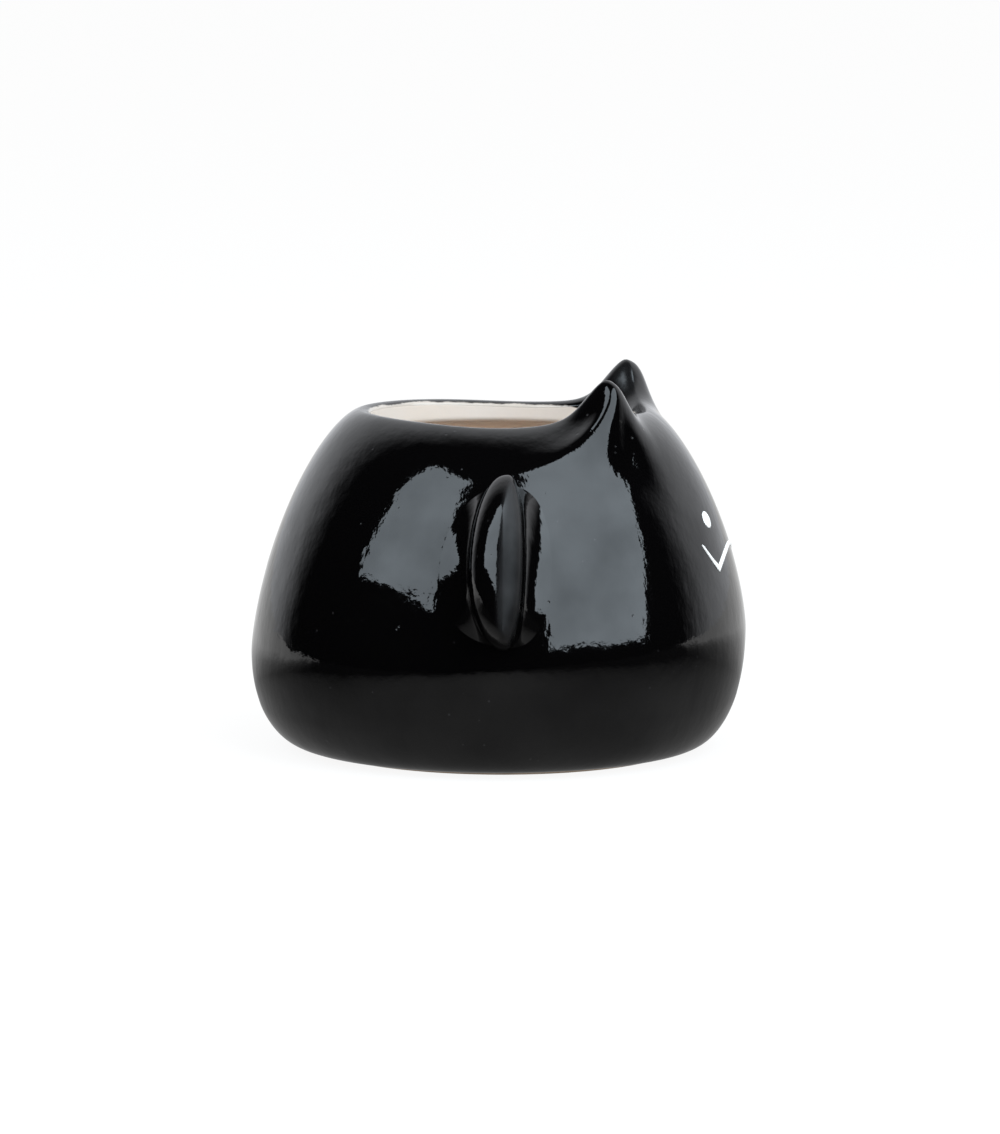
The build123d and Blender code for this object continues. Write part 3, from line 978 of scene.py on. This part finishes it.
class PLANTER_OT_wings(Operator):
    """Stub wing on each side, with the hollow where it meets the body"""

    bl_idname = "planter.wings"
    bl_label = "Wings"

    def execute(self, context):
        settings = context.scene.planter
        form, wing = WingForm(settings), settings.wings
        segments, hollows, walls, ends = 112, 14, 6, 26
        hollow_share = 0.9
        # The coat runs thin along the front of the end: place of that ridge, and how soon it wears
        ridge_share, ridge_gain, end_gain = 0.6, 1.6, 1.5
        straight = wing.reach - wing.end_round
        ridge_line = wing.forward + ridge_share * wing.front_half

        def base(turned):
            """Where the end begins to round off, lower at the upper tip."""
            return straight - wing.cap_drop * max(math.sin(turned), 0.0) ** 2

        def root(turned, share):
            """A point of the hollow between the body and the wing."""
            rounded = wing.fillet_start + (QUARTER - wing.fillet_start) * share
            spread = (1.0 - math.sin(rounded)) / (1.0 - math.sin(wing.fillet_start))
            rise = 1.0 - math.cos(rounded) / math.cos(wing.fillet_start)
            half = form.half_height(hollow_share * straight * share) + wing.fillet_rise * spread
            fillet = wing.rear_fillet if math.cos(turned) > 0.0 else wing.fillet
            across, up = form.section(turned, fillet * spread, half)
            low = form.ground(across, up) - wing.sunk
            return across, up, low + min(wing.fillet, hollow_share * (base(turned) - low)) * rise

        def place(ring, turned):
            if ring <= hollows:
                return form.place(*root(turned, ring / hollows))
            ring -= hollows
            if ring <= walls:
                across, up, low = root(turned, 1.0)
                share = ring / walls
                wide, high = form.section(turned, 0.0, form.half_height(straight))
                return form.place(across + (wide - across) * share, up + (high - up) * share,
                                  low + (base(turned) - low) * share)
            rounded = QUARTER * (ring - walls) / ends
            taper = wing.end_taper if math.sin(turned) > 0.0 else wing.low_taper
            half = form.half_height(straight) - taper * (1.0 - math.cos(rounded))
            top = wing.reach - (half * math.sin(turned) + wing.apex_drop) ** 2 / (2.0 * wing.bow)
            out = base(turned) + (top - base(turned)) * math.sin(rounded)
            near = max(0.0, 1.0 - (top - out) / wing.front_round)
            rear_share = math.cos(rounded)
            front_share = max(1.0 - near ** 2, 0.0) ** (1.0 / wing.end_power)
            return form.place(*form.section(turned, 0.0, half, rear_share, front_share), out)

        def draw(bm):
            thin = bm.verts.layers.float.new("thin")
            below = bm.verts.layers.float.new("rim_depth")
            for index, ring in enumerate(draw_rings(bm, segments, hollows + walls + ends + 1, place)):
                worn = ease((index - hollows - walls) / ends * end_gain)
                for vert in ring:
                    ridge = 1.0 - abs(vert.co.y + ridge_line) / wing.front_half
                    vert[thin] = worn * ease(ridge_gain * ridge)
                    vert[below] = OUTSIDE_RIM
            bmesh.ops.remove_doubles(bm, verts=bm.verts[:], dist=SAME_PLACE)

        add_pair(context, "wing", draw, black_glaze(settings.finish), "black_glaze", "wing")
        return {"FINISHED"}


class PLANTER_OT_wing_seats(Operator):
    """Layer of joining slip under each wing"""

    bl_idname = "planter.wing_seats"
    bl_label = "Wing seats"

    def execute(self, context):
        settings = context.scene.planter
        form, slip = WingForm(settings), settings.wings.slip
        segments = 48
        middle, flat, edge = 0.05, 0.7, 0.97
        layers = ((middle, -slip), (flat, -slip), (edge, -slip * 5 / 6), (1.0, -slip / 2), (edge, -slip / 6),
                  (flat, 0.0), (middle, 0.0))

        def place(ring, turned):
            share, lift = layers[ring]
            across, up = form.section(turned, 0.0, form.half_height(0.0))
            return form.place(across * share, up * share, form.ground(across * share, up * share) + lift)

        def draw(bm):
            rings = draw_rings(bm, segments, len(layers), place)
            close_ring(bm, rings[0])
            close_ring(bm, rings[-1])

        add_pair(context, "wing_seat", draw, bare_clay(settings.finish), "fired_clay", "wing_slip")
        return {"FINISHED"}


class PLANTER_OT_eyes(Operator):
    """Raised dot of white enamel for each eye"""

    bl_idname = "planter.eyes"
    bl_label = "Eyes"

    def execute(self, context):
        settings = context.scene.planter
        vessel, face = settings.vessel, settings.face
        segments, crown, least_share = 40, 9, 0.02
        radius = face.eye_diameter / 2
        slant = math.hypot(1.0, side_fall(vessel, face.eye_turn, face.eye_height))
        skin = side_radius(vessel, face.eye_turn, face.eye_height)

        def place(ring, turned):
            rounded = QUARTER * max(ring - 1, 0) / crown
            reach = radius * max(math.cos(rounded), least_share)
            lift = face.enamel * math.sin(rounded) if ring else -face.sunk
            turn = face.eye_turn + reach * math.cos(turned) / skin
            return side_point(vessel, turn, face.eye_height + reach * math.sin(turned) / slant, lift)

        def draw(bm):
            close_ring(bm, draw_rings(bm, segments, crown + 2, place)[-1])
            bmesh.ops.holes_fill(bm, edges=[edge for edge in bm.edges if edge.is_boundary])

        add_pair(context, "eye", draw, white_enamel(settings.finish), "white_enamel", "eye")
        return {"FINISHED"}


class PLANTER_OT_mouth(Operator):
    """Raised zigzag line of white enamel for the mouth"""

    bl_idname = "planter.mouth"
    bl_label = "Mouth"

    def execute(self, context):
        settings = context.scene.planter
        vessel, face = settings.vessel, settings.face
        segments, outer, inner, turn_rounds = 16, 14, 26, 4
        half, tip = face.stroke / 2, face.tip_stroke / 2
        low = face.valley_height
        end, peak = low + face.end_rise, low + face.peak_rise
        far = face.valley + face.end_reach
        lower_end, upper_end = Vector((far + tip, end)), Vector((far - tip, end))
        lower_low = Vector((face.valley + tip, low - half))
        upper_low = Vector((face.valley - tip, low + face.stroke))
        lower_top, upper_top = Vector((0.0, peak - half)), Vector((0.0, peak + half))

        def edges(mark):
            """Lower and upper edge of the line: 0 at an end, 1 at the low corner, 2 in the middle."""
            if mark <= 1.0:
                sag = Vector((0.0, -face.end_sag * 4.0 * mark * (1.0 - mark)))
                return lower_end.lerp(lower_low, mark) + sag, upper_end.lerp(upper_low, mark) + sag
            share = mark - 1.0
            arch = Vector((0.0, face.arch_rise * 4.0 * share * (1.0 - share)))
            return lower_low.lerp(lower_top, share) + arch, upper_low.lerp(upper_top, share) + arch

        half_marks = steps(0.0, 1.0, outer) + steps(1.0, 2.0, inner)
        marks = half_marks + [2.0] + [4.0 - mark for mark in reversed(half_marks)]

        def place(ring, turned):
            mark = marks[ring]
            side = 1.0 if mark <= 2.0 else -1.0
            lower, upper = edges(mark if side > 0.0 else 4.0 - mark)
            spot = lower.lerp(upper, 0.5 + 0.5 * math.cos(turned))
            turn = 0.0
            for _ in range(turn_rounds):
                turn = math.asin(spot.x / side_radius(vessel, turn, spot.y))
            sine = math.sin(turned)
            lift = (face.enamel if sine > 0.0 else face.sunk) * sine
            return side_point(vessel, side * turn, spot.y, lift)

        bm = bmesh.new()
        rings = draw_rings(bm, segments, len(marks), place)
        close_ring(bm, rings[0])
        close_ring(bm, rings[-1])
        face_outwards(bm)
        add_piece(context, "mouth_line", bm, white_enamel(settings.finish), "white_enamel", "mouth")
        return {"FINISHED"}


# Stage

def seen_direction(stage, turn, rise):
    """A direction from the object, turned sideways from the camera's and raised above the horizon."""
    seen = stage.azimuth + turn
    return Vector((math.sin(seen) * math.cos(rise), -math.cos(seen) * math.cos(rise), math.sin(rise)))


class PLANTER_OT_stage(Operator):
    """Camera at the photograph's angle, pale floor, two soft panels and a pale room"""

    bl_idname = "planter.stage"
    bl_label = "Stage"

    def execute(self, context):
        stage = context.scene.planter.stage
        self.add_camera(context, stage)
        self.add_floor(context, stage)
        for side, _ in SIDES:
            self.add_panel(context, stage, side)
        self.set_room(context, stage)
        context.scene.view_settings.view_transform = "Standard"
        return {"FINISHED"}

    def add_camera(self, context, stage):
        """Camera at the photograph's angle and framing."""
        data = bpy.data.cameras.new("camera")
        data.sensor_fit = "AUTO"
        data.sensor_width = 36.0
        data.lens = stage.lens
        data.clip_start, data.clip_end = 0.05, 100.0
        camera = bpy.data.objects.new("camera", data)
        context.scene.collection.objects.link(camera)
        back = seen_direction(stage, 0.0, stage.elevation)
        camera.location = Vector((0.0, -stage.aim_forward, stage.aim_height)) + back * stage.distance
        camera.rotation_mode = "QUATERNION"
        turned = (-back).to_track_quat("-Z", "Y")
        camera.rotation_quaternion = turned @ Quaternion((0.0, 0.0, 1.0), stage.roll)
        context.scene.camera = camera

    def add_floor(self, context, stage):
        """Pale floor, wide behind the object and ending short of the camera."""
        bm = bmesh.new()
        bmesh.ops.create_grid(bm, x_segments=1, y_segments=1, size=1.0)
        back = seen_direction(stage, 0.0, 0.0)
        across = Vector((-back.y, back.x, 0.0))
        for vert in bm.verts:
            deep = stage.floor_front if vert.co.x > 0.0 else -stage.floor_back
            vert.co = back * deep + across * vert.co.y * stage.floor_back
        face_outwards(bm)
        mesh = bpy.data.meshes.new("floor")
        bm.to_mesh(mesh)
        bm.free()
        mesh.materials.append(self.floor_material(stage, back))
        floor = bpy.data.objects.new("floor", mesh)
        context.scene.collection.objects.link(floor)

    def floor_material(self, stage, back):
        """White to the camera, with a faint shadow; to the glaze a glow that fades away from the object."""
        squeeze = (0.38, 1.0, 0.0)
        near_start, near_end, near_light, far_light = 0.05, 0.24, 0.34, 0.03
        behind_start, behind_end, behind_light = -0.25, 0.05, 0.9
        material = bpy.data.materials.new("Pale floor")
        material.use_nodes = True
        tree = material.node_tree
        tree.nodes.clear()
        output = node(tree, "ShaderNodeOutputMaterial", (4, 0))
        path = node(tree, "ShaderNodeLightPath", (-2, 0))
        shade = node(tree, "ShaderNodeBsdfDiffuse", (0, 3))
        shade.inputs["Color"].default_value = stage.floor_shade
        pale = node(tree, "ShaderNodeAddShader", (1, 1))
        tree.links.new(glow_node(tree, "ShaderNodeEmission", (0, 1), stage.floor_light), pale.inputs[0])
        tree.links.new(shade.outputs[0], pale.inputs[1])
        spot = node(tree, "ShaderNodeTexCoord", (-6, 5)).outputs["Object"]
        far = vector_node(tree, (-3, 5), "LENGTH", vector_node(tree, (-4, 5), "MULTIPLY", spot, squeeze))
        near = range_node(tree, (-2, 5), far, near_start, near_end, near_light, far_light)
        ahead = vector_node(tree, (-3, 7), "DOT_PRODUCT", spot, back)
        behind = range_node(tree, (-2, 7), ahead, behind_start, behind_end, behind_light, 0.0)
        brighter = math_node(tree, (-1, 5), "MAXIMUM", near, behind)
        mirrored = glow_node(tree, "ShaderNodeEmission", (0, 5), brighter)
        mixed = mix_shader(tree, (2, 0), path.outputs["Is Camera Ray"], mirrored, pale.outputs[0])
        tree.links.new(mixed, output.inputs["Surface"])
        return material

    def add_panel(self, context, stage, side):
        """Soft rectangular light, seen only in reflections."""
        turn, rise, roll, lean, width, height = (
            getattr(stage, side + "_" + setting)
            for setting in ("turn", "rise", "roll", "lean", "width", "height"))
        name = side + "_panel"
        data = bpy.data.lights.new(name, "AREA")
        data.shape = "RECTANGLE"
        data.size, data.size_y = width, height
        data.energy = stage.panel_light * math.pi * width * height
        data.color = stage.panel_colour[:3]
        panel = bpy.data.objects.new(name, data)
        context.scene.collection.objects.link(panel)
        away = seen_direction(stage, turn, lean)
        middle = seen_direction(stage, turn, rise) * stage.panel_distance
        panel.location = Vector((0.0, 0.0, stage.aim_height)) + middle
        panel.rotation_mode = "QUATERNION"
        panel.rotation_quaternion = away.to_track_quat("Z", "Y") @ Quaternion((0.0, 0.0, 1.0), roll)
        panel.visible_camera = False

    def set_room(self, context, stage):
        """Pale room behind the object, dark in front of it, plain white to the camera."""
        fade_start, fade_end, camera_light = 0.22, 0.62, 1.0
        world = bpy.data.worlds.new("room")
        context.scene.world = world
        world.use_nodes = True
        tree = world.node_tree
        tree.nodes.clear()
        output = node(tree, "ShaderNodeOutputWorld", (5, 0))
        coordinates = node(tree, "ShaderNodeTexCoord", (-3, 0))
        pale_side = seen_direction(stage, math.pi - stage.room_turn, stage.room_rise)
        behind = vector_node(tree, (-2, 0), "DOT_PRODUCT", coordinates.outputs["Generated"], pale_side)
        shade = range_node(tree, (-1, 0), behind, fade_start, fade_end, stage.front_light, stage.rear_light)
        lit = glow_node(tree, "ShaderNodeBackground", (1, 0), shade, stage.room_colour)
        path = node(tree, "ShaderNodeLightPath", (1, -2))
        plain_rays = (("Is Diffuse Ray", stage.soft_light, 3), ("Is Camera Ray", camera_light, 4))
        for ray, strength, place in plain_rays:
            plain = glow_node(tree, "ShaderNodeBackground", (place - 2, place), strength)
            lit = mix_shader(tree, (place, 0), path.outputs[ray], lit, plain)
        tree.links.new(lit, output.inputs["Surface"])


class PLANTER_PT_panel(Panel):
    """Lists the pieces and the stage"""

    bl_idname = "PLANTER_PT_panel"
    bl_label = "Animal Planter"
    bl_space_type = "VIEW_3D"
    bl_region_type = "UI"
    bl_category = "Planter"

    def draw(self, context):
        column = self.layout.column(align=True)
        for piece in PIECES:
            column.operator(piece.bl_idname)


PIECES = (PLANTER_OT_clay, PLANTER_OT_black_coat, PLANTER_OT_cream_inside, PLANTER_OT_wings,
          PLANTER_OT_wing_seats, PLANTER_OT_eyes, PLANTER_OT_mouth, PLANTER_OT_stage)
CLASSES = (VesselSizes, EarSizes, WingSizes, FaceSizes, FinishSettings, StageSettings, PlanterSettings,
           *PIECES, PLANTER_PT_panel)


def register():
    """Registers the classes and the settings."""
    for kind in CLASSES:
        bpy.utils.register_class(kind)
    bpy.types.Scene.planter = PointerProperty(type=PlanterSettings)


def unregister():
    """Takes the settings and the classes away again."""
    del bpy.types.Scene.planter
    for kind in reversed(CLASSES):
        bpy.utils.unregister_class(kind)


def main():
    """Builds every piece and the stage."""
    register()
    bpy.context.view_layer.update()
    bpy.ops.planter.clay()
    bpy.ops.planter.black_coat()
    bpy.ops.planter.cream_inside()
    bpy.ops.planter.wings()
    bpy.ops.planter.wing_seats()
    bpy.ops.planter.eyes()
    bpy.ops.planter.mouth()
    bpy.ops.planter.stage()
    bpy.context.view_layer.update()


if __name__ == "__main__":
    main()
